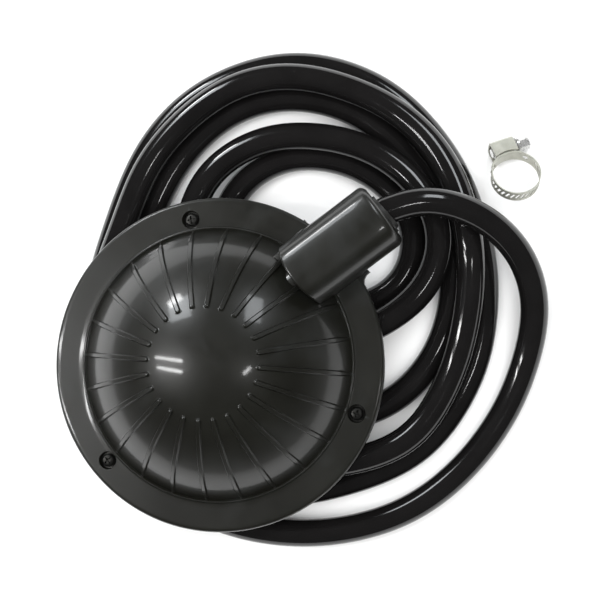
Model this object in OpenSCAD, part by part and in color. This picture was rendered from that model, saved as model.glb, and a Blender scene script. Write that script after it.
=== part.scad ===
// Low-level suction head with its hose and a loose hose clamp.
// The head lies flat, its port points along +X, and the origin is at the
// centre of the face that the head stands on. All lengths are millimetres.

/* [Head] */
// Outside diameter of the flange
flange_d = 190; // [180:1:200]
// Thickness of the cover's flange
flange_t = 6; // [5:0.5:7]
// Radius of the dome where it leaves the flange
dome_r = 76.5; // [75:0.5:76.5]
// Height of the dome above the flange
dome_h = 46.5; // [44:0.5:48]
// Wall of the dome
wall = 3; // [2:0.5:3.5]
// Number of ribs round the dome
rib_count = 24; // [12:12:36]
// Width of one rib
rib_w = 2.4; // [1.6:0.2:3.2]
// How far a rib stands off the dome's crown
rib_h = 1.3; // [0.9:0.1:1.8]
// Radius at which the ribs end near the crown
rib_end_r = 32; // [26:1:40]

/* [Port] */
// Outside diameter of the port tube
port_d = 39; // [37:1:41]
// Distance from the dome's axis to the port's mouth
port_x = 127; // [124:1:132]
// Distance from the dome's axis to the port's inner end
port_start = 69; // [67:1:71]
// Height of the port's axis
port_z = 27.5; // [27:0.5:29]
// Height of the port's low-arched top above its axis
port_top = 17.2; // [16.5:0.1:18]

/* [Base] */
// Height of the foot pads
pad_h = 1.5; // [1:0.5:2]
// Thickness of the base plate
base_t = 3; // [2.5:0.5:3.5]
// Thickness of the gasket and of the strainer screen
gasket_t = 1; // [0.8:0.1:1.5]
// Number of intake slots in the base plate
slot_count = 24; // [12:4:32]
// Width of one intake slot
slot_w = 3.6; // [2:0.2:4]

/* [Cover screws] */
// Number of cover screws
screw_count = 3; // [3:1:6]
// Radius of the circle that the screws lie on
screw_circle_r = 84; // [83:0.5:86]
// Diameter of the recess round each screw
recess_d = 10; // [9:0.5:11]
// Depth of that recess
recess_depth = 3.5; // [3:0.25:4]

/* [Hose] */
// Outside diameter of the hose
hose_d = 16; // [14:0.5:17]
// Depth of the floor below the head's foot pads
floor_drop = 32; // [30:1:36]

/* [Hose clamp] */
// Inside radius of the clamp's band
band_r = 13.5; // [12:0.5:14]
// Width of the band
band_w = 8; // [6:1:9]
// Thickness of the band
band_t = 0.6; // [0.5:0.1:0.8]

/* [Hidden] */
$fn = 96;
eps = 0.01;

// Levels of the stack, from the foot pads up
base_z = pad_h;
gasket_z = base_z + base_t;
cover_z = gasket_z + gasket_t;
flange_top = cover_z + flange_t;
flange_r = flange_d / 2;
lip_r = 77;
lip_w = 1.6;
lip_h = 0.8;
rim_round = 2;
arc_steps = 20;

// The dome is a spherical cap, and so is the surface of the ribs
cap_r = (pow(dome_r, 2) + pow(dome_h, 2)) / (2 * dome_h);
cap_z = flange_top + dome_h - cap_r;
rib_foot_r = lip_r + 0.6;
rib_foot_h = 0.4;
rib_cap_h = dome_h + rib_h - rib_foot_h;
rib_cap_r = (pow(rib_foot_r, 2) + pow(rib_cap_h, 2)) / (2 * rib_cap_h);
rib_cap_z = flange_top + dome_h + rib_h - rib_cap_r;
cavity_r = 68;

// The seam between the cover and the base plate
gasket_r = 94;
base_r = 94;
seam_r = 70;

// The intake
slot_in_r = 22;
slot_out_r = 56;
screen_r = 69;
screen_hole_d = 4.4;
screen_rows = 5;
screen_pitch = 12;
ballast_in_r = 46;
ballast_out_r = 60;
ballast_t = 8;
pad_in_r = 84;
pad_out_r = 92;
pad_arc = 34;
centre_pad_r = 12;

// Screws
shank_r = 2;
head_r = 3.75;
head_t = 2.4;
washer_t = 0.6;
washer_r = 4.6;
cross_len = 4.4;
cross_w = 0.9;
cross_depth = 1.4;
shank_gap = 0.3;
insert_r = 3.2;
recess_z = flange_top - recess_depth;

// The port's bore, from the dome outwards
port_r = port_d / 2;
port_round = 3;
port_arch_r = 37;
neck_start = 56;
chamber_r = 12;
chamber_start = 75;
chamber_end = 96;
socket_r = 13;
valve_z = 23.2;
valve_hole_r = 5.3;
neck_r = 7.5;
step_side = 22.5;
step_h = 2;
corner_r = 6;
corner_y = port_r + corner_r;
corner_bite = 0.2;
corner_x = sqrt(pow(flange_r + corner_r - corner_bite, 2) - pow(corner_y, 2));
block_side = port_r - 1;
block_top = port_z - 3.5;

// The non-return valve
seat_t = 2.5;
seal_t = 0.8;
seal_r = 7;
rest_gap = 0.1;
flap_pad_t = 0.8;
flap_t = 1.6;
flap_r = 7;
seat_face = chamber_start + seat_t;
seal_face = seat_face + seal_t;
flap_x = seal_face + rest_gap + flap_pad_t;
pin_x = flap_x + flap_t;
pin_z = 33;
pin_r = 1;
pin_gap = 0.08;
knuckle_r = 2.2;
knuckle_w = 6;
ear_w = 1.8;
ear_gap = 0.4;

// The hose fitting and the grommet at the mouth
seal_ring_t = 1.2;
barb_flange_t = 2.8;
barb_r = 4.75;
barb_bore_r = 3.4;
barb_tip_r = 5.4;
barb_x = chamber_end + seal_ring_t;
barb_end = 120;
barb_count = 3;
barb_root = 3;
grommet_x = 119;
grommet_lip = 2;

// The hose starts on the fitting, leaves the port, winds five and a half loose
// turns and ends bare under the head. Each point is [x, y, height above the floor].
hose_sides = 10;
hose_start = barb_x + barb_flange_t + 1;
port_level = port_z + floor_drop;
hose_route = [
    [hose_start, 0, port_level], [port_x + grommet_lip, 0, port_level],
    [150, -10, 57], [166, -34, 48], [170, -62, 34], [160, -88, 20], [138, -108, 11],
    [104, -126, 8], [62, -135, 8], [20, -131, 8], [-22, -110, 8], [-56, -76, 8], [-76, -34, 8],
    [-78, 12, 8], [-64, 50, 8], [-38, 80, 8],
    [-4, 104, 8], [48, 130, 8], [98, 132, 8], [146, 108, 8], [174, 62, 8], [176, 8, 8],
    [160, -38, 8], [138, -70, 8], [102, -98, 8], [50, -110, 8], [-6, -90, 8], [-38, -64, 9],
    [-56, -28, 16], [-68, 12, 22], [-58, 50, 24], [-32, 78, 24],
    [2, 98, 24], [48, 121, 22], [102, 122, 22], [140, 101, 22], [166, 60, 22], [174, 22, 24],
    [168, -12, 28], [152, -42, 33], [128, -68, 27], [92, -92, 22], [50, -102, 23], [4, -80, 24],
    [-26, -44, 19], [-38, 2, 12], [-26, 48, 8],
    [4, 86, 8], [48, 110, 8], [94, 114, 8], [131, 96, 8], [155, 60, 8], [159, 18, 8],
    [150, -22, 8], [128, -54, 8], [96, -75, 8], [58, -79, 8], [24, -62, 8], [2, -24, 10],
    [2, 22, 13],
    [22, 64, 17], [60, 90, 20], [100, 86, 20], [130, 62, 22], [148, 32, 22], [152, -2, 24],
    [142, -28, 24], [118, -43, 24], [88, -43, 24], [58, -32, 21], [36, -8, 15], [28, 24, 9],
    [42, 58, 8], [72, 76, 8], [106, 70, 8], [132, 42, 8], [140, 8, 8], [130, -18, 8],
    [108, -31, 8], [82, -26, 8], [60, -8, 8], [50, 18, 8]
];

// Where the clamp lies, and how it leans
clamp_at = [198.0, -27.9, -17.93];
clamp_turn = [-20, 15, -21];
housing_len = 14;
housing_side = 5.4;
housing_rise = 4.8;
housing_cut = 1.5;
worm_rise = 4.6;
worm_y = band_r + band_t + worm_rise;
worm_r = 3.4;
housing_wall = 0.9;
screw_collar_r = 4.6;
screw_collar_t = 1.2;
hex_r = 4;
hex_len = 6;
hex_gap = 1.5;
driver_slot = 1.2;
driver_depth = 1.8;
band_slot_count = 21;
band_slot_step = 12;
band_slot_from = 130;
band_slot_lean = -28;
band_slot_w = 1.4;
band_slot_len = 4.6;
hole_angle = 43;
hole_r = 1.7;
lap_from = 54;
lap_arc = 88;

cover_black = [0.17, 0.17, 0.15];
rubber_black = [0.08, 0.08, 0.08];
steel = [0.72, 0.72, 0.70];
brass = [0.72, 0.60, 0.32];

// Points of a cap of radius r about height z, from distance out to distance in
function cap(r, z, out, in) =
    let (a = asin(out / r), b = asin(in / r))
    [for (i = [0:arc_steps]) let (t = a + (b - a) * i / arc_steps) [r * sin(t), z + r * cos(t)]];

// A tube or a ring, open along Z
module ring(outer, inner, height) {
    difference() {
        cylinder(r = outer, h = height);
        translate([0, 0, -1]) cylinder(r = inner, h = height + 2);
    }
}

// Puts its children on the port's axis, turned so that their Z runs along +X
module along_port(x, z = port_z) {
    translate([x, 0, z]) rotate([0, 90, 0]) children();
}

// Puts its children at each cover screw
module at_screws() {
    for (i = [0:screw_count - 1])
        rotate([0, 0, 60 + i * 360 / screw_count]) translate([screw_circle_r, 0, 0]) children();
}

// The turned outside of the cover: flange, lip and dome
module cover_outside() {
    rotate_extrude()
        polygon(concat(
            [[0, cover_z], [flange_r - 0.5, cover_z], [flange_r, cover_z + 0.5]],
            [for (i = [0:4]) let (a = i * 22.5)
                [flange_r - rim_round * (1 - cos(a)), flange_top - rim_round * (1 - sin(a))]],
            [[lip_r + lip_w, flange_top], [lip_r + lip_w - 0.4, flange_top + lip_h],
             [lip_r + 0.4, flange_top + lip_h], [lip_r, flange_top]],
            cap(cap_r, cap_z, dome_r, 0)));
}

// One rib's outline on the flange, rounded at its inner end
module rib_plan() {
    translate([rib_end_r, -rib_w / 2]) square([lip_r + lip_w - rib_end_r, rib_w]);
    translate([rib_end_r, 0]) circle(d = rib_w, $fn = 24);
}

// The ribs: a skin over the dome, kept only where a rib's outline covers it
module ribs() {
    intersection() {
        rotate_extrude()
            polygon(concat(
                [[rib_foot_r, flange_top - 1]],
                cap(rib_cap_r, rib_cap_z, rib_foot_r, rib_end_r - 3),
                cap(cap_r - 1, cap_z, rib_end_r - 2, dome_r - 2),
                [[dome_r - 2, flange_top - 1]]));
        linear_extrude(height = flange_top + dome_h + rib_h)
            for (i = [0:rib_count - 1]) rotate([0, 0, i * 360 / rib_count]) rib_plan();
    }
}

// The port: a round tube with a low-arched top, its foot on the flange and its neck to the dome
module port_outside() {
    length = port_x - port_start;
    intersection() {
        along_port(port_start)
            rotate_extrude()
                polygon(concat(
                    [[0, 0]],
                    [for (i = [0:5]) let (a = i * 18)
                        [port_r - port_round * (1 - sin(a)), port_round * (1 - cos(a))]],
                    [for (i = [0:5]) let (a = i * 18)
                        [port_r - port_round * (1 - cos(a)), length - port_round * (1 - sin(a))]],
                    [[0, length]]));
        along_port(port_start - 1, port_z + port_top - port_arch_r)
            cylinder(r = port_arch_r, h = length + 2);
    }
    along_port(neck_start, valve_z) cylinder(r = neck_r, h = port_start - neck_start + 2);
    // the block under the tube, nearly as wide as the tube
    translate([port_start - 6, -block_side, cover_z])
        cube([corner_x - port_start + 8, 2 * block_side, block_top - cover_z]);
    // the raised step beside the tube
    translate([lip_r, -step_side, cover_z])
        cube([flange_r - lip_r - 4, 2 * step_side, flange_t + step_h]);
    // the hollow corners where the tube leaves the flange's rim
    translate([0, 0, cover_z])
        linear_extrude(height = flange_t)
            difference() {
                translate([lip_r, -corner_y + 1]) square([corner_x - lip_r, 2 * corner_y - 2]);
                for (s = [-1, 1]) translate([corner_x, s * corner_y]) circle(r = corner_r);
            }
}

module cover_shell() {
    color(cover_black)
        difference() {
            union() {
                cover_outside();
                difference() {
                    ribs();
                    // the rib on the port's line stops at the port
                    translate([port_start - 2, -neck_r, 0]) cube([30, 2 * neck_r, 60]);
                }
                port_outside();
            }
            // the inside of the dome
            rotate_extrude()
                polygon(concat([[0, cover_z - 1], [cavity_r, cover_z - 1]],
                               cap(cap_r - wall, cap_z, cavity_r, 0)));
            // the way from the dome into the port
            along_port(neck_start - 8, valve_z)
                cylinder(r = valve_hole_r, h = chamber_start - neck_start + 9);
            along_port(chamber_start) cylinder(r = chamber_r, h = chamber_end - chamber_start + 1);
            along_port(chamber_end) cylinder(r = socket_r, h = port_x - chamber_end + 1);
            // the screw recesses
            at_screws() {
                translate([0, 0, recess_z]) cylinder(d = recess_d, h = recess_depth + 1);
                translate([0, 0, cover_z - 1]) cylinder(r = shank_r, h = flange_t + 1);
            }
        }
}

module cover_gasket() {
    color(rubber_black)
        difference() {
            translate([0, 0, gasket_z]) ring(gasket_r, seam_r, gasket_t);
            at_screws() translate([0, 0, gasket_z - 1]) cylinder(r = shank_r, h = gasket_t + 2);
        }
}

module base_plate() {
    color(cover_black)
        difference() {
            translate([0, 0, base_z]) cylinder(r = base_r, h = base_t);
            for (i = [0:slot_count - 1])
                rotate([0, 0, (i + 0.5) * 360 / slot_count])
                    translate([slot_in_r, -slot_w / 2, base_z - 1])
                        cube([slot_out_r - slot_in_r, slot_w, base_t + 2]);
            at_screws() translate([0, 0, base_z - 1]) cylinder(r = insert_r, h = base_t + 2);
        }
}

// A round pad at the centre and six curved ones with gaps between them, where the water runs in
module foot_pads() {
    color(rubber_black) {
        cylinder(r = centre_pad_r, h = pad_h);
        for (i = [0:5])
            rotate([0, 0, i * 60 + 30 - pad_arc / 2])
                rotate_extrude(angle = pad_arc)
                    translate([pad_in_r, 0]) square([pad_out_r - pad_in_r, pad_h]);
    }
}

module strainer_screen() {
    color(steel)
        difference() {
            translate([0, 0, gasket_z]) cylinder(r = screen_r, h = gasket_t);
            for (row = [1:screen_rows], i = [0:6 * row - 1])
                rotate([0, 0, i * 60 / row])
                    translate([row * screen_pitch - 4, 0, gasket_z - 1])
                        cylinder(d = screen_hole_d, h = gasket_t + 2, $fn = 24);
        }
}

module ballast_ring() {
    color(steel) translate([0, 0, cover_z]) ring(ballast_out_r, ballast_in_r, ballast_t);
}

// Pan heads with a cross recess, and plain shanks down into the base plate
module cover_screws() {
    color(steel)
        at_screws() {
            translate([0, 0, base_z + shank_gap])
                cylinder(r = shank_r, h = recess_z + washer_t - base_z - shank_gap);
            translate([0, 0, recess_z + washer_t])
                difference() {
                    rotate_extrude()
                        polygon([[0, 0], [head_r, 0], [head_r, head_t - 1.2], [head_r - 0.9, head_t - 0.3],
                                 [head_r - 2, head_t], [0, head_t]]);
                    for (a = [0, 90])
                        rotate([0, 0, a])
                            translate([-cross_len / 2, -cross_w / 2, head_t - cross_depth])
                                cube([cross_len, cross_w, cross_depth + 1]);
                }
        }
}

module screw_washers() {
    color(steel) at_screws() translate([0, 0, recess_z]) ring(washer_r, shank_r, washer_t);
}

module screw_inserts() {
    color(brass) at_screws() translate([0, 0, base_z]) ring(insert_r, shank_r, base_t);
}

// A disc that closes the chamber, with an off-centre hole and two ears for the pin
module valve_seat() {
    ear_x = pin_x + knuckle_r - seat_face;
    color(cover_black)
        difference() {
            union() {
                along_port(chamber_start) cylinder(r = chamber_r, h = seat_t);
                for (s = [-1, 1])
                    translate([seat_face - eps, s * (knuckle_w / 2 + ear_gap + ear_w / 2) - ear_w / 2,
                               pin_z - knuckle_r])
                        cube([ear_x, ear_w, 2 * knuckle_r]);
            }
            along_port(chamber_start - 1, valve_z) cylinder(r = valve_hole_r, h = seat_t + 2);
            translate([pin_x, chamber_r, pin_z]) rotate([90, 0, 0]) cylinder(r = pin_r, h = 2 * chamber_r);
        }
}

module valve_seal() {
    color(rubber_black) along_port(seat_face, valve_z) ring(seal_r, valve_hole_r, seal_t);
}

module valve_pin() {
    half = knuckle_w / 2 + ear_gap + ear_w;
    color(steel) translate([pin_x, half, pin_z]) rotate([90, 0, 0]) cylinder(r = pin_r, h = 2 * half);
}

// The flap hangs from its knuckle and swings away from the seat
module valve_flap() {
    color(cover_black)
        difference() {
            union() {
                along_port(flap_x, valve_z) cylinder(r = flap_r, h = flap_t);
                translate([flap_x, -knuckle_w / 2, valve_z]) cube([flap_t, knuckle_w, pin_z - valve_z]);
                translate([pin_x, knuckle_w / 2, pin_z]) rotate([90, 0, 0])
                    cylinder(r = knuckle_r, h = knuckle_w);
            }
            translate([pin_x, knuckle_w, pin_z]) rotate([90, 0, 0])
                cylinder(r = pin_r + pin_gap, h = 2 * knuckle_w);
        }
}

module flap_pad() {
    color(rubber_black) along_port(flap_x - flap_pad_t, valve_z) cylinder(r = seal_r - 0.4, h = flap_pad_t);
}

// A flanged fitting with barbs that the hose is pushed over
module hose_barb() {
    length = barb_end - barb_x;
    tooth = (length - barb_flange_t - barb_root) / barb_count;
    color(brass)
        along_port(barb_x)
            rotate_extrude()
                polygon(concat(
                    [[barb_bore_r, 0], [socket_r, 0], [socket_r, barb_flange_t], [barb_r, barb_flange_t],
                     [barb_r, barb_flange_t + barb_root]],
                    [for (i = [0:barb_count - 1], p = [[barb_tip_r, 0], [barb_r, tooth - 0.2]])
                        [p[0], barb_flange_t + barb_root + i * tooth + p[1]]],
                    [[barb_r, length], [barb_bore_r, length]]));
}

module barb_seal() {
    color(rubber_black) along_port(chamber_end) ring(socket_r, chamber_r - 4, seal_ring_t);
}

// A rubber collar between the hose and the port's mouth
module port_grommet() {
    length = port_x - grommet_x;
    color(rubber_black)
        along_port(grommet_x)
            rotate_extrude()
                polygon([[hose_d / 2, 0], [socket_r, 0], [socket_r, length], [socket_r - 1.5, length],
                         [socket_r - 2.5, length + grommet_lip], [hose_d / 2, length + grommet_lip]]);
}

function unit(v) = v / norm(v);

// A ring of points round one place on the route, square to the route there
function hose_ring(i) =
    let (last = len(hose_route) - 1,
         t = unit(hose_route[min(i + 1, last)] - hose_route[max(i - 1, 0)]),
         side = unit(cross(t, [0, 0, 1])),
         up = cross(side, t),
         at = hose_route[i] - [0, 0, floor_drop])
    [for (k = [0:hose_sides - 1]) let (a = 90 + k * 360 / hose_sides)
        at + (side * cos(a) + up * sin(a)) * hose_d / 2];

module suction_hose() {
    rings = len(hose_route);
    points = [for (i = [0:rings - 1]) each hose_ring(i)];
    caps = [[for (k = [0:hose_sides - 1]) k],
            [for (k = [hose_sides - 1:-1:0]) (rings - 1) * hose_sides + k]];
    walls = [for (i = [0:rings - 2], k = [0:hose_sides - 1])
        let (a = i * hose_sides, b = a + hose_sides, n = (k + 1) % hose_sides)
        each [[a + k, b + k, b + n], [a + k, b + n, a + n]]];
    color(rubber_black) polyhedron(points = points, faces = concat(caps, walls));
}

// The clamp is drawn round the origin, its worm along X, then put where it lies
module place_clamp() {
    translate(clamp_at) rotate(clamp_turn) children();
}

module clamp_band() {
    outer = band_r + band_t;
    color(steel)
        place_clamp() {
            difference() {
                union() {
                    translate([0, 0, -band_w / 2]) ring(outer, band_r, band_w);
                    // where the strip laps over its own end, under the housing
                    rotate([0, 0, lap_from])
                        rotate_extrude(angle = lap_arc)
                            translate([outer - eps, -band_w / 2]) square([band_t, band_w]);
                }
                for (i = [0:band_slot_count - 1])
                    rotate([0, 0, band_slot_from + i * band_slot_step])
                        translate([band_r - 1, 0, 0]) rotate([band_slot_lean, 0, 0])
                            translate([0, -band_slot_w / 2, -band_slot_len / 2])
                                cube([3, band_slot_w, band_slot_len]);
                rotate([0, 0, hole_angle]) translate([band_r - 1, 0, 0]) rotate([0, 90, 0])
                    cylinder(r = hole_r, h = 3, $fn = 32);
            }
        }
}

// The housing's outline across the worm, at a distance inside its outer faces
module housing_plan(inset, foot) {
    side = housing_side - inset;
    top = worm_y + housing_rise - inset;
    polygon([[foot, -side], [top - housing_cut, -side], [top, -side + housing_cut],
             [top, side - housing_cut], [top - housing_cut, side], [foot, side]]);
}

// A folded bridge over the worm, open at both ends
module clamp_housing() {
    lap_r = band_r + 2 * band_t;
    foot_y = sqrt(pow(lap_r, 2) - pow(housing_side, 2)) - 0.4;
    color(steel)
        place_clamp()
            difference() {
                translate([-housing_len / 2, 0, 0]) rotate([90, 0, 90])
                    linear_extrude(height = housing_len) housing_plan(0, foot_y);
                translate([-housing_len, 0, 0]) rotate([90, 0, 90])
                    linear_extrude(height = 2 * housing_len) housing_plan(housing_wall, foot_y - 1);
                translate([0, 0, -band_w]) cylinder(r = lap_r, h = 2 * band_w);
            }
}

// The worm, its collar and a slotted hexagon head
module clamp_screw() {
    turns = 8;
    pitch = (housing_len - 2) / turns;
    head_x = housing_len / 2 + hex_gap;
    color(steel)
        place_clamp()
            translate([0, worm_y, 0]) rotate([0, 90, 0])
                difference() {
                    union() {
                        translate([0, 0, -housing_len / 2])
                            cylinder(r = worm_r - 0.8, h = housing_len + hex_gap + 0.5);
                        for (i = [0:turns - 1])
                            translate([0, 0, -housing_len / 2 + 1 + i * pitch])
                                cylinder(r = worm_r, h = pitch / 2);
                        translate([0, 0, head_x]) cylinder(r = screw_collar_r, h = screw_collar_t);
                        translate([0, 0, head_x + screw_collar_t])
                            cylinder(r = hex_r, h = hex_len, $fn = 6);
                    }
                    translate([-hex_r, -driver_slot / 2, head_x + screw_collar_t + hex_len - driver_depth])
                        cube([2 * hex_r, driver_slot, driver_depth + 1]);
                }
}

cover_shell();
cover_gasket();
base_plate();
foot_pads();
strainer_screen();
ballast_ring();
cover_screws();
screw_washers();
screw_inserts();
valve_seat();
valve_seal();
valve_pin();
valve_flap();
flap_pad();
hose_barb();
barb_seal();
port_grommet();
suction_hose();
clamp_band();
clamp_housing();
clamp_screw();
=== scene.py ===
"""Looks for the low-level suction head, its hose and its loose clamp. Metres, in the CAD's frame."""
import math

import bmesh
import bpy
import numpy as np
from mathutils import Matrix, Vector


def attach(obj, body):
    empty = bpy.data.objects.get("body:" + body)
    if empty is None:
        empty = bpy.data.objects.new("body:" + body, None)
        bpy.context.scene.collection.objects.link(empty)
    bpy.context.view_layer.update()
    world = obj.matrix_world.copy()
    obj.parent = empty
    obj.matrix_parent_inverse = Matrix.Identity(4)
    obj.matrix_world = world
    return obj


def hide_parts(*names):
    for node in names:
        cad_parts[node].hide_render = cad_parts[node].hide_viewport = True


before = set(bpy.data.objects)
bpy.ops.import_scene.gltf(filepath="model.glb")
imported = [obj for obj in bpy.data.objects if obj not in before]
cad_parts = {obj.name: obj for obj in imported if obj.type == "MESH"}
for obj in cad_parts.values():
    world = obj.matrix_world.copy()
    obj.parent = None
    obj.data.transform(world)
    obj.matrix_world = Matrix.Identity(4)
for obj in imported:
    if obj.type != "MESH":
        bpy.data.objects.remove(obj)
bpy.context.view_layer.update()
scene = bpy.context.scene
scene.view_settings.view_transform = "Standard"
MM = 0.001

# ---------------------------------------------------------------- camera
CAMERA_AT = Vector((0.1271, -0.1214, 0.8846))
CAMERA_AIM = Vector((0.0561, 0.0023, -0.0320))
CAMERA_UP = Vector((0.657, 0.752, 0.051))
LENS = 94.0

view_back = (CAMERA_AT - CAMERA_AIM).normalized()
view_right = CAMERA_UP.cross(view_back).normalized()
view_up = view_back.cross(view_right)
camera_data = bpy.data.cameras.new("camera")
camera_data.lens = LENS
camera_data.sensor_width = 36.0
camera_data.clip_start, camera_data.clip_end = 0.05, 20.0
camera = bpy.data.objects.new("camera", camera_data)
turn = Matrix((view_right, view_up, view_back)).transposed()
camera.matrix_world = Matrix.Translation(CAMERA_AT) @ turn.to_4x4()
scene.collection.objects.link(camera)
scene.camera = camera


def new_object(name, verts, faces):
    mesh = bpy.data.meshes.new(name)
    mesh.from_pydata([tuple(v) for v in verts], [], [tuple(f) for f in faces])
    mesh.update()
    obj = bpy.data.objects.new(name, mesh)
    scene.collection.objects.link(obj)
    return obj


def smooth(obj, angle):
    """Smooth shading with sharp edges above an angle in degrees."""
    obj.data.polygons.foreach_set("use_smooth", [True] * len(obj.data.polygons))
    obj.data.set_sharp_from_angle(angle=math.radians(angle))


# ---------------------------------------------------------------- hose
HOSE_D = 0.016
HOSE_R = HOSE_D / 2
HOSE_BORE_R = 0.00475
FLOOR_Z = -0.032
PORT_Z = 0.0275
PORT_MOUTH = 0.127
PORT_TURN = math.radians(-4.4)


def on_port(x, y=0.0):
    """Where a point of the port's own plan lies, the port being turned about its mouth."""
    c, s = math.cos(PORT_TURN), math.sin(PORT_TURN)
    return PORT_MOUTH + (x - PORT_MOUTH) * c - y * s, (x - PORT_MOUTH) * s + y * c


# [x, y, height above the floor] in millimetres, from the fitting inside the port to the bare end
ROUTE = [
    (101, 0, 59.5), (129, 0, 59.5),
    (150, -10, 57), (166, -34, 48), (170, -62, 34), (160, -88, 20), (138, -108, 11),
    (104, -126, 8), (62, -135, 8), (20, -131, 8), (-22, -110, 8), (-56, -76, 8), (-76, -34, 8),
    (-78, 12, 8), (-64, 50, 8), (-38, 80, 8),
    (-4, 104, 8), (48, 130, 8), (98, 132, 8), (146, 108, 8), (174, 62, 8), (176, 8, 8),
    (160, -38, 8), (138, -70, 8), (102, -98, 8), (50, -110, 8), (-6, -90, 8), (-38, -64, 9),
    (-56, -28, 16), (-68, 12, 22), (-58, 50, 24), (-32, 78, 24),
    (2, 98, 24), (48, 121, 22), (102, 122, 22), (140, 101, 22), (166, 60, 22), (174, 22, 24),
    (168, -12, 28), (152, -42, 33), (128, -68, 27), (92, -92, 22), (50, -102, 23), (4, -80, 24),
    (-26, -44, 19), (-38, 2, 12), (-26, 48, 8),
    (4, 86, 8), (48, 110, 8), (94, 114, 8), (131, 96, 8), (155, 60, 8), (159, 18, 8),
    (150, -22, 8), (128, -54, 8), (96, -75, 8), (58, -79, 8), (24, -62, 8), (2, -24, 10),
    (2, 22, 13),
    (22, 64, 17), (60, 90, 20), (100, 86, 20), (130, 62, 22), (148, 32, 22), (152, -2, 24),
    (142, -28, 24), (118, -43, 24), (88, -43, 24), (58, -32, 21), (36, -8, 15), (28, 24, 9),
    (42, 58, 8), (72, 76, 8), (106, 70, 8), (132, 42, 8), (140, 8, 8), (130, -18, 8),
    (108, -31, 8), (82, -26, 8), (60, -8, 8), (50, 18, 8),
]
RING_STEP = 0.004
HOSE_SIDES = 28
# how far its bore is open at the fitting and at the bare end
OPEN_AT_FITTING = 0.020
OPEN_AT_END = 0.044


def catmull_rom(points, per_span):
    """A smooth line through all points."""
    p = np.array(points, float)
    p = np.vstack([2 * p[0] - p[1], p, 2 * p[-1] - p[-2]])
    out = []
    for i in range(1, len(p) - 2):
        a, b, c, d = p[i - 1:i + 3]
        for t in np.arange(per_span) / per_span:
            out.append(0.5 * (2 * b + (c - a) * t + (2 * a - 5 * b + 4 * c - d) * t ** 2
                              + (3 * b - a - 3 * c + d) * t ** 3))
    out.append(p[-2])
    return np.array(out)


def even_spacing(points, step):
    s = np.r_[0, np.cumsum(np.linalg.norm(np.diff(points, axis=0), axis=1))]
    at = np.linspace(0, s[-1], int(round(s[-1] / step)) + 1)
    return np.column_stack([np.interp(at, s, points[:, k]) for k in range(3)])


def relax(points, rounds, held=8):
    """Eases small kinks out of a line and leaves its two ends where they are."""
    p = points.copy()
    for _ in range(rounds):
        q = p.copy()
        q[1:-1] = 0.5 * p[1:-1] + 0.25 * (p[:-2] + p[2:])
        q[:held], q[-2:] = p[:held], p[-2:]
        p = q
    return p


def hose_line():
    route = np.array(ROUTE, float) * MM
    route[:, 2] += FLOOR_Z
    line = even_spacing(catmull_rom(route, 12), RING_STEP)
    line = relax(line, 14)
    line[:, 2] = np.maximum(line[:, 2], FLOOR_Z + HOSE_R)
    return line


def tube(name, line, outer, bore, start_depth, end_depth, sides):
    """A hose along a line, hollow for a short way at both ends, with rounded lips."""
    tangent = np.gradient(line, axis=0)
    tangent /= np.linalg.norm(tangent, axis=1)[:, None]
    side = np.cross(tangent, [0, 0, 1.0])
    side /= np.linalg.norm(side, axis=1)[:, None]
    up = np.cross(side, tangent)
    angle = np.linspace(0, 2 * math.pi, sides, endpoint=False) + math.pi / 2
    lip = 0.0006

    def ring(i, radius, push=0.0):
        centre = line[i] + tangent[i] * push
        return centre + radius * (np.outer(np.cos(angle), side[i]) + np.outer(np.sin(angle), up[i]))

    rings, run = [], []
    last = len(line) - 1
    n_in, n_out = int(start_depth / RING_STEP), int(end_depth / RING_STEP)
    length = 0.0
    plan = [(i, bore, 0.0) for i in range(n_in, 0, -1)]
    plan += [(0, bore, lip * 0.3), (0, bore + lip, 0.0), (0, outer - lip, 0.0), (0, outer, lip)]
    plan += [(i, outer, 0.0) for i in range(1, last)]
    plan += [(last, outer, -lip), (last, outer - lip, 0.0), (last, bore + lip, 0.0), (last, bore, -lip)]
    plan += [(i, bore, 0.0) for i in range(last - 1, last - n_out, -1)]
    previous = None
    for i, radius, push in plan:
        rings.append(ring(i, radius, push))
        centre = line[i]
        if previous is not None:
            length += max(float(np.linalg.norm(centre - previous)), 0.0004)
        previous = centre
        run.append(length)
    verts = np.vstack(rings)
    faces = []
    for r in range(len(rings) - 1):
        a, b = r * sides, (r + 1) * sides
        for k in range(sides):
            n = (k + 1) % sides
            faces.append((a + k, a + n, b + n, b + k))
    faces.append(tuple(range(sides - 1, -1, -1)))
    faces.append(tuple((len(rings) - 1) * sides + k for k in range(sides)))
    obj = new_object(name, verts, faces)
    uv = []
    for face in faces:
        wraps = len(face) == 4 and face[1] % sides == 0
        for v in face:
            turned = (1.0 if wraps and v % sides == 0 else (v % sides) / sides)
            uv += [run[v // sides], turned * 2 * math.pi * outer]
    obj.data.uv_layers.new(name="along").data.foreach_set("uv", uv)
    smooth(obj, 50)
    return obj


line = hose_line()
hose = tube("hose", line, HOSE_R, HOSE_BORE_R, OPEN_AT_FITTING, OPEN_AT_END, HOSE_SIDES)
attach(hose, "head")
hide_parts("suction_hose")

# ---------------------------------------------------------------- cover
# flange, dome and ribs
COVER_Z = 0.0055
FLANGE_TOP = 0.0115
FLANGE_R = 0.095
DOME_FOOT_R = 0.0765
DOME_H = 0.0465
CAP_R = (DOME_FOOT_R ** 2 + DOME_H ** 2) / (2 * DOME_H)
CAP_Z = FLANGE_TOP + DOME_H - CAP_R
WALL = 0.003
CAVITY_R = 0.068
RIB_COUNT = 24
RIB_END_R = 0.0315
RIB_H = 0.0013
RIB_HALF = 0.0009
RIB_FOOT = 0.0016
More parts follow.
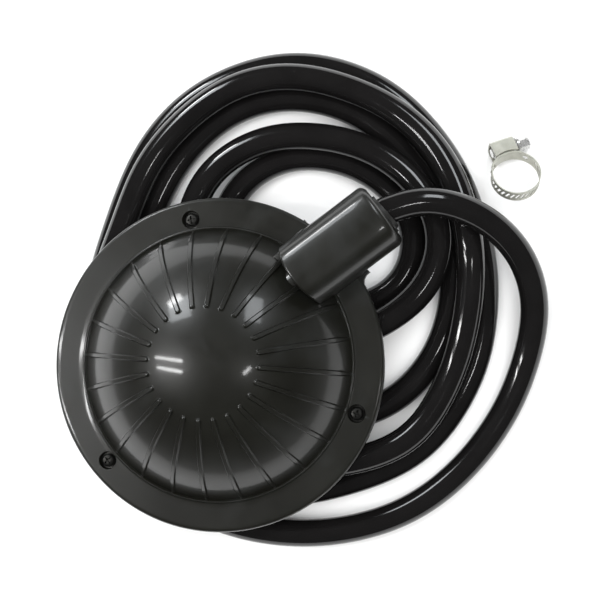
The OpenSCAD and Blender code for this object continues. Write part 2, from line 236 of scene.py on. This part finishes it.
# the port's tube, the block under it, the step beside it and its foot with hollow corners
PORT_R = 0.0195
PORT_TOP = 0.0172
PORT_ARCH_R = 0.037
PORT_START = 0.069
BLOCK_SIDE = PORT_R - 0.001
BLOCK_X = (0.063, 0.0995)
BLOCK_TOP = PORT_Z - 0.0035
STEP_SIDE = 0.020
STEP_SHIFT = 0.006
STEP_X = (0.0772, 0.088)
STEP_TOP = FLANGE_TOP + 0.002
FOOT_X = 0.079
FOOT_TOP = FLANGE_TOP - 0.0004
CORNER_R = 0.006
CORNER_BITE = 0.0002
# screw holes and their recesses
SCREW_CIRCLE_R = 0.084
SCREW_ANGLES = (60, 180, 300)
SHANK_R = 0.002
RECESS_R = 0.005
RECESS_Z = 0.008
# the bore: valve chamber, socket at the mouth, and the duct from the dome
CHAMBER_X = (0.075, 0.096)
CHAMBER_R = 0.012
SOCKET_R = 0.013
SOCKET_LEAD = 0.0008
DUCT_Z = 0.0232
DUCT_R = 0.0053
NECK_START = 0.056
NECK_R = 0.0075


def dome_point(r, grow=0.0):
    """A point of the dome's outline at a distance from its axis, grown outwards along its normal."""
    n = Vector((r, math.sqrt(CAP_R ** 2 - r ** 2))) / CAP_R
    return Vector((0, CAP_Z)) + n * (CAP_R + grow)


def cover_rows():
    """Rows of the cover's outline from its crown to the centre of its flat underside.

    Each row is (point on the cover, point on top of a rib there, how full the rib's width is)."""
    rows = []
    crown = [0.004, 0.008, 0.012, 0.016, 0.020, 0.024, 0.027]
    tips = list(np.arange(0.029, 0.0355, 0.0005))
    slopes = np.linspace(math.asin(0.037 / CAP_R), math.asin(0.0762 / CAP_R), 24)
    sides = [CAP_R * math.sin(t) for t in slopes]
    for r in crown + tips + sides:
        near_foot = ease((r - 0.069) / 0.008)
        rows.append((dome_point(r), dome_point(r, RIB_H * (1 - 0.6 * near_foot)), 1 - 0.45 * near_foot))
    # the inner half of the lip, where the ribs run out at a level of their own
    rib_end_z = 0.0121
    for r, z in ((76.75, 11.5), (77.0, 11.62), (77.15, 11.95), (77.35, 12.2), (77.65, 12.3)):
        p = Vector((r, z)) * MM
        rows.append((p, Vector((p.x, max(p.y, rib_end_z))), 0.55))
    # its outer half, the flange, the rounded rim and the underside
    rest = [(78.0, 12.3), (78.3, 12.18), (78.5, 11.9), (78.7, 11.6), (79.2, 11.5)]
    rest += [(r, 11.5) for r in (82, 85.5, 89, 91.5)]
    rest += [(93 + 2 * math.sin(t), 9.5 + 2 * math.cos(t)) for t in np.radians((0, 18, 36, 54, 72, 90))]
    rest += [(95, 8), (95, 6.4), (94.8, 5.9), (94.4, 5.5), (80, 5.5), (40, 5.5), (15, 5.5)]
    rows += [(Vector(p) * MM, Vector(p) * MM, 1.0) for p in rest]
    return rows


def ease(x):
    """A smooth step from 0 to 1."""
    x = min(max(x, 0.0), 1.0)
    return x * x * (3 - 2 * x)


def cover_body():
    """The closed turned body, its columns crowded round each rib so that the ribs keep their shape."""
    near = [0.0, 0.0004, 0.0007, 0.0009, 0.0011, 0.0013, 0.0016, 0.0022]
    far = 2
    half = math.pi / RIB_COUNT
    rows = cover_rows()
    verts = [Vector((0, 0, CAP_Z + CAP_R))]
    across = range(-len(near) - far + 1, len(near) + far)
    columns = [(rib, k) for rib in range(RIB_COUNT) for k in across]
    for base, top, full in rows:
        shrink = min(1.0, base.x / 0.030)
        for rib, k in columns:
            j = abs(k)
            sign = 1 if k >= 0 else -1
            if j < len(near):
                away = near[j] * shrink
                reach = math.hypot(max(0.0, RIB_END_R - base.x), away)
                w = 1 - ease((reach - RIB_HALF * full) / ((RIB_FOOT - RIB_HALF) * full))
                p = base.lerp(top, w)
                phi = math.asin(min(1.0, away / p.x))
            else:
                p = base
                edge = math.asin(near[-1] * shrink / p.x)
                phi = edge + (half - edge) * (j - len(near) + 1) / (far + 0.5)
            angle = rib * 2 * half + sign * phi
            verts.append(Vector((p.x * math.cos(angle), p.x * math.sin(angle), p.y)))
    verts.append(Vector((0, 0, COVER_Z)))
    n = len(columns)
    faces = []
    for c in range(n):
        faces.append((0, 1 + c, 1 + (c + 1) % n))
    for r in range(len(rows) - 1):
        a, b = 1 + r * n, 1 + (r + 1) * n
        for c in range(n):
            d = (c + 1) % n
            faces.append((a + c, b + c, b + d, a + d))
    a = 1 + (len(rows) - 1) * n
    for c in range(n):
        faces.append((a + c, len(verts) - 1, a + (c + 1) % n))
    return new_object("cover", verts, faces)


def port_section(inset):
    """The port's outline across its axis: a round tube under a low arch, eased where they meet."""
    blend = 0.0012
    low = PORT_TOP - PORT_ARCH_R
    turns = list(range(0, 33, 4)) + list(range(34, 46)) + list(range(48, 181, 6))
    half = []
    for t in np.radians(turns):
        along = low * math.cos(t)
        arch = along + math.sqrt(along ** 2 - low ** 2 + PORT_ARCH_R ** 2)
        h = max(blend - abs(arch - PORT_R), 0.0) / blend
        reach = (min(arch, PORT_R) - h * h * blend * 0.25) * (1 - inset / PORT_R)
        half.append((reach * math.sin(t), reach * math.cos(t)))
    return half + [(-y, z) for y, z in reversed(half[1:-1])]


def port_tube():
    """The port's outside, rounded at both ends, its inner end swelling towards the dome."""
    length = PORT_MOUTH - PORT_START
    inner_round, outer_round, bulge, bulge_reach = 0.0012, 0.0042, 0.0032, 0.020
    turns = np.radians((15, 30, 45, 60, 75, 90))
    stations = [(0.0, 0.008), (0.0, inner_round)]
    stations += [(inner_round * (1 - math.cos(t)), inner_round * (1 - math.sin(t))) for t in turns]
    stations += [(length * f, 0.0) for f in (0.1, 0.2, 0.4, 0.6, 0.8)]
    stations += [(length - outer_round * (1 - math.cos(t)), outer_round * (1 - math.sin(t)))
                 for t in turns[::-1]]
    stations += [(length, outer_round)]
    verts, faces = [], []
    for x, inset in stations:
        for y, z in port_section(inset):
            swell = bulge * (1 - (y / PORT_R) ** 2) * max(0.0, 1 - x / bulge_reach)
            verts.append((PORT_START + x - swell, y, PORT_Z + z))
    n = len(port_section(0.0))
    for r in range(len(stations) - 1):
        for c in range(n):
            d = (c + 1) % n
            faces.append((r * n + c, r * n + d, (r + 1) * n + d, (r + 1) * n + c))
    faces.append(tuple(range(n - 1, -1, -1)))
    faces.append(tuple((len(stations) - 1) * n + c for c in range(n)))
    return new_object("port_tube", verts, faces)


def prism(name, outline, low, high):
    """An upright prism over an outline that runs anticlockwise."""
    n = len(outline)
    verts = [(x, y, low) for x, y in outline] + [(x, y, high) for x, y in outline]
    faces = [tuple(range(n - 1, -1, -1)), tuple(range(n, 2 * n))]
    faces += [(i, (i + 1) % n, n + (i + 1) % n, n + i) for i in range(n)]
    return new_object(name, verts, faces)


def revolve(name, profile, at, axis="Z", steps=96):
    """A closed solid of revolution. The profile is (radius, height) from axis to axis."""
    verts, faces = [], []
    inner = [p for p in profile if p[0] > 0]
    for r, h in inner:
        for i in range(steps):
            t = 2 * math.pi * i / steps
            u, v = r * math.cos(t), r * math.sin(t)
            x, y, z = (u, v, h) if axis == "Z" else (h, u, v)
            verts.append((at[0] + x, at[1] + y, at[2] + z))
    for r in range(len(inner) - 1):
        for i in range(steps):
            k = (i + 1) % steps
            faces.append((r * steps + i, r * steps + k, (r + 1) * steps + k, (r + 1) * steps + i))
    faces.append(tuple(range(steps - 1, -1, -1)))
    faces.append(tuple((len(inner) - 1) * steps + i for i in range(steps)))
    return new_object(name, verts, faces)


def bevel(obj, width, segments=3, angle=30):
    modifier = obj.modifiers.new("bevel", "BEVEL")
    modifier.width, modifier.segments = width, segments
    modifier.limit_method, modifier.angle_limit = "ANGLE", math.radians(angle)
    apply_modifiers(obj)


def apply_modifiers(obj):
    graph = bpy.context.evaluated_depsgraph_get()
    mesh = bpy.data.meshes.new_from_object(obj.evaluated_get(graph))
    obj.modifiers.clear()
    old = obj.data
    obj.data = mesh
    bpy.data.meshes.remove(old)


def outward(obj):
    """Turns all of a closed mesh's faces outwards."""
    work = bmesh.new()
    work.from_mesh(obj.data)
    bmesh.ops.recalc_face_normals(work, faces=work.faces)
    work.to_mesh(obj.data)
    work.free()


def join(name, parts):
    """One object that holds the closed meshes of all parts, which are used up."""
    verts, faces = [], []
    for part in parts:
        outward(part)
        base = len(verts)
        verts += [tuple(v.co) for v in part.data.vertices]
        faces += [tuple(base + i for i in f.vertices) for f in part.data.polygons]
        mesh = part.data
        bpy.data.objects.remove(part)
        bpy.data.meshes.remove(mesh)
    return new_object(name, verts, faces)


def boolean(obj, other, operation):
    modifier = obj.modifiers.new("boolean", "BOOLEAN")
    modifier.operation, modifier.object = operation, other
    modifier.solver, modifier.use_self = "EXACT", True
    apply_modifiers(obj)
    mesh = other.data
    bpy.data.objects.remove(other)
    bpy.data.meshes.remove(mesh)


def rounded_plan(half_width, x0, x1, corner):
    """A rectangle from x0 to x1 whose two corners at x1 are rounded."""
    pts = [(x0, half_width), (x0, -half_width)]
    for t in np.radians(np.linspace(-90, 0, 7)):
        pts.append((x1 - corner + corner * math.cos(t), -half_width + corner + corner * math.sin(t)))
    for t in np.radians(np.linspace(0, 90, 7)):
        pts.append((x1 - corner + corner * math.cos(t), half_width - corner + corner * math.sin(t)))
    return pts


def port_foot_plan():
    """The flange's own thickness carried out to the tube, with hollow corners."""
    axis_x = PORT_MOUTH - PORT_MOUTH * math.cos(PORT_TURN)
    axis_y = PORT_MOUTH * math.sin(PORT_TURN)
    out = []
    for side in (-1, 1):
        y = side * (PORT_R + CORNER_R)
        x = axis_x + math.sqrt((FLANGE_R + CORNER_R - CORNER_BITE) ** 2 - (y - axis_y) ** 2)
        arc = [(x + CORNER_R * math.cos(t), y - side * CORNER_R * math.sin(t))
               for t in np.linspace(math.radians(190), math.radians(90), 9)]
        part = [(FOOT_X, y - side * 0.001)] + arc + [(x + 0.001, arc[-1][1])]
        out += part if side < 0 else part[::-1]
    return out


def turn_with_port(obj):
    for v in obj.data.vertices:
        v.co.x, v.co.y = on_port(v.co.x, v.co.y)


def port_parts():
    """The closed parts that make the port. All but the step on the flange turn with it."""
    tube_part = port_tube()
    block = prism("block", rounded_plan(BLOCK_SIDE, *BLOCK_X, 0.003), COVER_Z, BLOCK_TOP)
    bevel(block, 0.0005, 2)
    step = prism("step", rounded_plan(STEP_SIDE, *STEP_X, 0.002), COVER_Z + 0.001, STEP_TOP)
    bevel(step, 0.0006, 3)
    for v in step.data.vertices:
        v.co.y += STEP_SHIFT
    foot = prism("foot", port_foot_plan(), COVER_Z, FOOT_TOP)
    neck_profile = [(NECK_R, NECK_START), (NECK_R, PORT_START + 0.002)]
    neck = revolve("neck", neck_profile, (0, 0, DUCT_Z), "X", 48)
    turned = [tube_part, block, foot, neck]
    for part in turned:
        turn_with_port(part)
    return turned + [step]


def screw_recess(angle):
    """The recess and the shank's hole of the screw at an angle in degrees."""
    t = math.radians(angle)
    profile = [
        (SHANK_R, COVER_Z - 0.001), (SHANK_R, RECESS_Z), (RECESS_R - 0.0003, RECESS_Z),
        (RECESS_R, RECESS_Z + 0.0004), (RECESS_R, FLANGE_TOP - 0.0004),
        (RECESS_R + 0.00012, FLANGE_TOP - 0.0001), (RECESS_R + 0.0004, FLANGE_TOP + 0.00015),
        (RECESS_R + 0.0008, FLANGE_TOP + 0.001),
    ]
    at = (SCREW_CIRCLE_R * math.cos(t), SCREW_CIRCLE_R * math.sin(t), 0)
    return revolve("recess", profile, at, "Z", 48)


def hollows():
    """What is cut out of the cover. The port's bore lies straight, as do the pieces in it."""
    inner_r = CAP_R - WALL
    inner = [(CAVITY_R, COVER_Z - 0.001)]
    inner += [(inner_r * math.sin(t), CAP_Z + inner_r * math.cos(t))
              for t in np.linspace(math.asin(CAVITY_R / inner_r), math.radians(1), 20)]
    start, end = CHAMBER_X
    duct = [(DUCT_R, NECK_START - 0.008), (DUCT_R, start + 0.002)]
    bore = [
        (CHAMBER_R, start), (CHAMBER_R, end), (SOCKET_R, end), (SOCKET_R, PORT_MOUTH - 0.0006),
        (SOCKET_R + SOCKET_LEAD, PORT_MOUTH + 0.0006), (SOCKET_R + SOCKET_LEAD, PORT_MOUTH + 0.003),
    ]
    cutters = [revolve("inside", inner, (0, 0, 0))]
    cutters.append(revolve("duct", duct, (0, 0, DUCT_Z), "X", 48))
    cutters.append(revolve("bore", bore, (0, 0, PORT_Z), "X"))
    return cutters + [screw_recess(angle) for angle in SCREW_ANGLES]


def make_cover():
    body = cover_body()
    boolean(body, join("port", port_parts()), "UNION")
    boolean(body, join("cutters", hollows()), "DIFFERENCE")
    smooth(body, 38)
    return body


cover = make_cover()
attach(cover, "head")
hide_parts("cover_shell")


# ---------------------------------------------------------------- materials
class Surface:
    """A Principled material with helpers for its noise, colour, roughness and bump.

    plain holds the shader's constant inputs by their names."""

    def __init__(self, name, plain):
        self.material = bpy.data.materials.new(name)
        self.material.use_nodes = True
        self.tree = self.material.node_tree
        self.tree.nodes.clear()
        out = self.tree.nodes.new("ShaderNodeOutputMaterial")
        self.shader = self.tree.nodes.new("ShaderNodeBsdfPrincipled")
        self.tree.links.new(self.shader.outputs[0], out.inputs[0])
        self.coord = self.tree.nodes.new("ShaderNodeTexCoord")
        self.normal = None
        for key, value in plain.items():
            self.shader.inputs[key].default_value = value

    def add(self, kind):
        return self.tree.nodes.new(kind)

    def link(self, a, b):
        self.tree.links.new(a, b)

    def place(self, scale, uv=False):
        node = self.add("ShaderNodeMapping")
        node.inputs["Scale"].default_value = scale
        self.link(self.coord.outputs["UV" if uv else "Object"], node.inputs["Vector"])
        return node.outputs[0]

    def noise(self, scale, detail=3.0, rough=0.55, at=None, distortion=0.0):
        node = self.add("ShaderNodeTexNoise")
        node.inputs["Scale"].default_value = scale
        node.inputs["Detail"].default_value = detail
        node.inputs["Roughness"].default_value = rough
        node.inputs["Distortion"].default_value = distortion
        self.link(at or self.coord.outputs["Object"], node.inputs["Vector"])
        return node.outputs["Fac"]

    def span(self, value, low, high, to_low=0.0, to_high=1.0):
        node = self.add("ShaderNodeMapRange")
        node.inputs["From Min"].default_value = low
        node.inputs["From Max"].default_value = high
        node.inputs["To Min"].default_value = to_low
        node.inputs["To Max"].default_value = to_high
        self.link(value, node.inputs["Value"])
        return node.outputs[0]

    def maths(self, operation, a, b):
        node = self.add("ShaderNodeMath")
        node.operation = operation
        for socket, value in zip(node.inputs, (a, b)):
            if isinstance(value, (int, float)):
                socket.default_value = value
            else:
                self.link(value, socket)
        return node.outputs[0]

    def mix(self, factor, a, b):
        node = self.add("ShaderNodeMix")
        node.data_type = "RGBA"
        self.link(factor, node.inputs["Factor"])
        for socket, value in zip([s for s in node.inputs if s.type == "RGBA"], (a, b)):
            if isinstance(value, tuple):
                socket.default_value = (*value, 1.0)
            else:
                self.link(value, socket)
        return [s for s in node.outputs if s.type == "RGBA"][0]

    def colour(self, value):
        self.link(value, self.shader.inputs["Base Color"])

    def rough(self, value):
        self.link(value, self.shader.inputs["Roughness"])

    def bump(self, height, strength, distance):
        node = self.add("ShaderNodeBump")
        node.inputs["Strength"].default_value = strength
        node.inputs["Distance"].default_value = distance
        self.link(height, node.inputs["Height"])
        if self.normal is not None:
            self.link(self.normal, node.inputs["Normal"])
        self.normal = node.outputs[0]
        self.link(self.normal, self.shader.inputs["Normal"])

    def worn_edges(self, low=0.52, high=0.6):
        node = self.add("ShaderNodeNewGeometry")
        return self.span(node.outputs["Pointiness"], low, high)


def moulded(name, dark, light, dust, rough, grain=0.00004, smudge=0.35, coat=0.0):
    """Black moulded plastic: fine spark grain, mottled tone, dusty smudges and paler worn edges."""
    s = Surface(name, {"IOR": 1.5, "Coat Weight": coat, "Coat Roughness": 0.09})
    cloud = s.span(s.noise(38, 4.0, 0.6), 0.3, 0.7)
    fine = s.noise(900, 2.0, 0.6)
    tone = s.mix(cloud, dark, light)
    patches = s.span(s.noise(16, 5.0, 0.62, distortion=0.6), 0.52, 0.74, 0.0, smudge)
    tone = s.mix(patches, tone, dust)
    tone = s.mix(s.maths("MULTIPLY", s.worn_edges(), 0.5), tone, dust)
    s.colour(tone)
    shine = s.maths("ADD", s.span(cloud, 0, 1, rough[0], rough[1]), s.maths("MULTIPLY", patches, 0.25))
    s.rough(shine)
    s.bump(fine, 0.35, grain)
    s.bump(s.noise(140, 3.0), 0.2, 0.00012)
    return s.material


def vinyl(name, dark, light, rough):
    """Glossy black hose: extrusion lines along it, faint waviness, dust that settles in specks."""
    s = Surface(name, {"IOR": 1.52})
    along = s.place((6, 900, 1), uv=True)
    lines = s.noise(1.0, 2.0, 0.5, at=along)
    cloud = s.span(s.noise(30, 4.0, 0.6), 0.3, 0.75)
    tone = s.mix(cloud, dark, light)
    specks = s.span(s.noise(700, 2.0, 0.5), 0.68, 0.78, 0.0, 0.5)
    film = s.span(s.noise(22, 5.0, 0.65, distortion=0.4), 0.55, 0.8, 0.0, 0.5)
    tone = s.mix(s.maths("MULTIPLY", specks, film), tone, (0.10, 0.10, 0.095))
    s.colour(tone)
    s.rough(s.maths("ADD", s.span(cloud, 0, 1, rough[0], rough[1]), s.maths("MULTIPLY", film, 0.12)))
    s.bump(lines, 0.12, 0.00006)
    s.bump(s.noise(60, 2.0, 0.4), 0.25, 0.00035)
    return s.material


def rubber(name, dark, light, rough):
    """Dull black rubber with a fine grain and a little dust."""
    s = Surface(name, {"IOR": 1.48})
    cloud = s.span(s.noise(70, 4.0, 0.6), 0.3, 0.7)
    dust = s.span(s.noise(260, 3.0, 0.6), 0.6, 0.8, 0.0, 0.4)
    s.colour(s.mix(dust, s.mix(cloud, dark, light), (0.09, 0.09, 0.085)))
    s.rough(s.span(cloud, 0, 1, rough[0], rough[1]))
    s.bump(s.noise(1500, 2.0), 0.3, 0.00004)
    return s.material


def metal(name, dark, light, rough, brush=(60, 60, 1500), stain=(0.25, 0.22, 0.18), stain_amount=0.25,
          bare=1.0):
    """Bare metal: brushed lines one way and cloudy tarnish."""
    s = Surface(name, {"Metallic": bare})
    lines = s.noise(1.0, 3.0, 0.6, at=s.place(brush))
    cloud = s.span(s.noise(120, 4.0, 0.6), 0.3, 0.7)
    tone = s.mix(cloud, dark, light)
    tone = s.mix(s.span(s.noise(210, 5.0, 0.7), 0.58, 0.8, 0.0, stain_amount), tone, stain)
    s.colour(tone)
    s.rough(s.maths("ADD", s.span(lines, 0.3, 0.7, rough[0], rough[1]), s.maths("MULTIPLY", cloud, 0.06)))
    s.bump(lines, 0.15, 0.00003)
    return s.material


def cast_iron(name):
    """Rough dark iron with brown rust clouds."""
    s = Surface(name, {"Metallic": 0.6})
    cloud = s.span(s.noise(150, 5.0, 0.65), 0.35, 0.7)
    s.colour(s.mix(cloud, (0.045, 0.042, 0.04), (0.12, 0.065, 0.035)))
    s.rough(s.span(cloud, 0, 1, 0.55, 0.85))
    s.bump(s.noise(800, 4.0, 0.6), 0.6, 0.0002)
    return s.material


LOOKS = {
    "cover": moulded("cover_plastic", (0.0046, 0.0045, 0.0032), (0.0068, 0.0068, 0.0050),
                     (0.024, 0.026, 0.026), (0.32, 0.42), coat=0.5),
    "base": moulded("base_plastic", (0.015, 0.015, 0.014), (0.022, 0.022, 0.020),
                    (0.06, 0.06, 0.058), (0.42, 0.52)),
    "valve": moulded("valve_plastic", (0.03, 0.03, 0.032), (0.04, 0.04, 0.042),
                     (0.08, 0.08, 0.08), (0.35, 0.45)),
    "hose": vinyl("hose_vinyl", (0.0045, 0.0042, 0.0042), (0.0075, 0.007, 0.007), (0.07, 0.13)),
    "seal": rubber("seal_rubber", (0.014, 0.014, 0.014), (0.022, 0.022, 0.022), (0.6, 0.75)),
    "grommet": rubber("grommet_rubber", (0.011, 0.011, 0.0105), (0.017, 0.017, 0.016), (0.38, 0.5)),
    "screen": metal("screen_steel", (0.42, 0.42, 0.41), (0.60, 0.60, 0.58), (0.25, 0.4), (40, 1200, 40)),
    "ballast": cast_iron("ballast_iron"),
    "screw": metal("screw_steel", (0.035, 0.034, 0.032), (0.08, 0.08, 0.075), (0.35, 0.5),
                   (900, 900, 60), (0.02, 0.017, 0.015), 0.6),
    "brass": metal("insert_brass", (0.55, 0.38, 0.15), (0.68, 0.50, 0.22), (0.25, 0.4),
                   (60, 60, 1200), (0.2, 0.14, 0.06)),
    "clamp": metal("clamp_steel", (0.34, 0.34, 0.29), (0.50, 0.50, 0.44), (0.26, 0.40),
                   (60, 60, 1300), (0.24, 0.23, 0.18), 0.35, 0.55),
    "clamp_screw": metal("clamp_screw_steel", (0.55, 0.55, 0.54), (0.75, 0.75, 0.74), (0.16, 0.30),
                         (900, 60, 60), (0.36, 0.35, 0.30), 0.2, 0.75),
}
WEARS = {
    "cover_gasket": "seal", "base_plate": "base", "foot_pads": "seal", "strainer_screen": "screen",
    "ballast_ring": "ballast", "cover_screws": "screw", "screw_washers": "screw", "screw_inserts": "brass",
    "valve_seat": "valve", "valve_seal": "seal", "valve_pin": "screw", "valve_flap": "valve",
    "flap_pad": "seal", "hose_barb": "brass", "barb_seal": "seal", "port_grommet": "grommet",
    "clamp_band": "clamp", "clamp_housing": "clamp", "clamp_screw": "clamp_screw",
}


def wear(obj, look):
    obj.data.materials.clear()
    obj.data.materials.append(LOOKS[look])


wear(cover, "cover")
wear(hose, "hose")
for node, look in WEARS.items():
    wear(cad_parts[node], look)

# ---------------------------------------------------------------- floor and light
FLOOR_HALF = 3
floor_corners = [(x * FLOOR_HALF, y * FLOOR_HALF, FLOOR_Z) for x, y in ((-1, -1), (1, -1), (1, 1), (-1, 1))]
floor = new_object("floor", floor_corners, [(0, 1, 2, 3)])
floor_look = Surface("floor_paper", {"Specular IOR Level": 0.2})
floor_look.colour(floor_look.mix(floor_look.noise(3.0, 2.0), (0.86, 0.86, 0.855), (0.88, 0.88, 0.88)))
floor_look.rough(floor_look.span(floor_look.noise(5.0), 0, 1, 0.75, 0.85))
floor.data.materials.append(floor_look.material)

world = bpy.data.worlds.new("world")
scene.world = world
world.use_nodes = True
world.node_tree.nodes["Background"].inputs[0].default_value = (1.0, 1.0, 1.0, 1)
world.node_tree.nodes["Background"].inputs[1].default_value = 0.07


def spot(x, y, height=0.0):
    """A point given by the picture's own right, up and towards directions, from where the camera looks."""
    return CAMERA_AIM + view_right * x + view_up * y + view_back * height


DOME_SPOT = spot(-0.07, -0.03, 0.05)
LAMP_HEIGHT = 0.8
WINDOW_BLUE = (0.93, 0.97, 1.0)


def lamp(name, centre, size, power, along=None, colour=(1, 1, 1), seen_in_gloss=True, aim=DOME_SPOT):
    """A rectangular area light that faces a point, its longer side along a direction."""
    data = bpy.data.lights.new(name, "AREA")
    data.shape = "RECTANGLE"
    data.size, data.size_y = size
    data.energy, data.color = power, colour
    obj = bpy.data.objects.new(name, data)
    obj.visible_glossy = seen_in_gloss
    scene.collection.objects.link(obj)
    right = (along or view_right).normalized()
    back = centre - aim
    back = (back - right * back.dot(right)).normalized()
    up = back.cross(right)
    obj.matrix_world = Matrix.Translation(centre) @ Matrix((right, up, back)).transposed().to_4x4()


def tube_lamp(name, start, end, width, power):
    """A long thin lamp between two places of the picture."""
    a = spot(*start, LAMP_HEIGHT)
    b = spot(*end, LAMP_HEIGHT)
    lamp(name, (a + b) / 2, ((b - a).length, width), power, b - a)


# the overhead lamp makes the floor white and isn't mirrored in the black plastic; the rest are mirrored
lamp("overhead", spot(0, 0, 1.6), (1.8, 1.8), 44, seen_in_gloss=False, aim=CAMERA_AIM)
lamp("window_left", spot(-0.90, 0.95, LAMP_HEIGHT), (0.50, 0.45), 7.0, colour=WINDOW_BLUE)
lamp("line_light", spot(-1.24, 1.42, LAMP_HEIGHT), (0.35, 0.22), 7.0,
     along=view_right * 0.75 + view_up * 0.66)
lamp("window_right", spot(0.33, 0.78, LAMP_HEIGHT), (0.25, 0.42), 2.6, colour=WINDOW_BLUE)
tube_lamp("tube_a", (-1.20, 0.119), (-0.556, 0.038), 0.035, 2.9)
tube_lamp("tube_b", (-1.11, -0.038), (-0.554, -0.087), 0.035, 2.6)
tube_lamp("small_spot", (0.122, -0.098), (0.197, -0.028), 0.03, 0.28)
